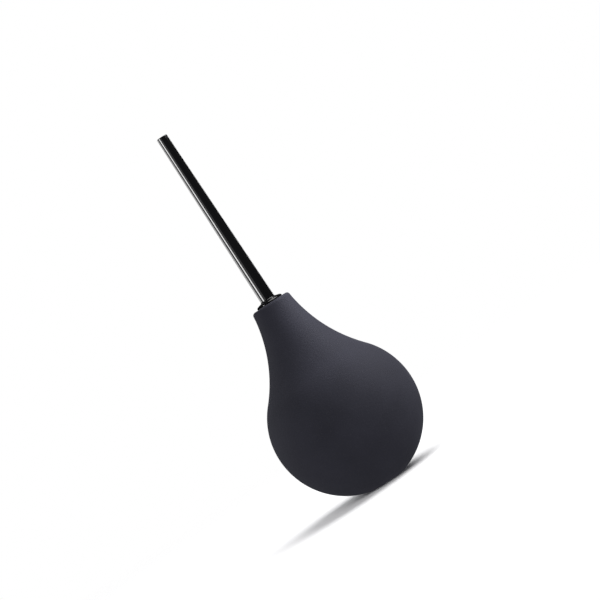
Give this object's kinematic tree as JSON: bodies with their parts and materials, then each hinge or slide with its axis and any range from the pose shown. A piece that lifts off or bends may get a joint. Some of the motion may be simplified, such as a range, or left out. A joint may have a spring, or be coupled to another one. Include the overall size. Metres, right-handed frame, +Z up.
{
  "type": "dust blower bulb",
  "caption": "Pear-shaped squeeze bulb in soft charcoal rubber with a long, slim, glossy black tapered nozzle that screws into its neck, and an air inlet valve in its base.",
  "frame": {"origin": "centre of the base, on the surface that the blower stands on", "axes": "+Z up the common axis of the bulb and the nozzle, towards the nozzle's tip; the outside is round about it"},
  "size_m": [0.06, 0.06, 0.157],
  "materials": {
    "bulb_rubber": "matt soft-touch, very fine grain",
    "nozzle_plastic": "polished",
    "hard_plastic": "satin moulded",
    "seal_rubber": "matt",
    "flap_rubber": "satin, natural silicone"
  },
  "bodies": {
    "root": {"bulb": "bulb_rubber", "neck_insert": "hard_plastic"},
    "base_valve": {"valve_seat": "hard_plastic", "valve_cage": "hard_plastic"},
    "inlet_flap": {"valve_flap": "flap_rubber"},
    "nozzle_carrier": {"nozzle_seal": "seal_rubber"},
    "nozzle": {"nozzle": "nozzle_plastic"}
  },
  "joints": [
    {"name": "bulb_squeeze", "type": "slide", "parent": "root", "child": "base_valve", "axis": [0, 0, 1], "range_m": [0, 0.025], "stiffness_N_per_m": 900, "deforming": ["bulb"]},
    {"name": "flap_lift", "type": "slide", "parent": "base_valve", "child": "inlet_flap", "axis": [0, 0, 1], "range_m": [0, 0.0012]},
    {"name": "nozzle_lift", "type": "slide", "parent": "root", "child": "nozzle_carrier", "axis": [0, 0, 1], "range_m": [0, 0.006]},
    {"name": "nozzle_unscrew", "type": "hinge", "parent": "nozzle_carrier", "child": "nozzle", "pos_m": [0, 0, 0.0817], "axis": [0, 0, 1], "range_deg": [0, 1080]}
  ],
  "couplings": [
    {"joint": "nozzle_unscrew", "follows": "nozzle_lift", "rad_per_m": 3141.6}
  ]
}
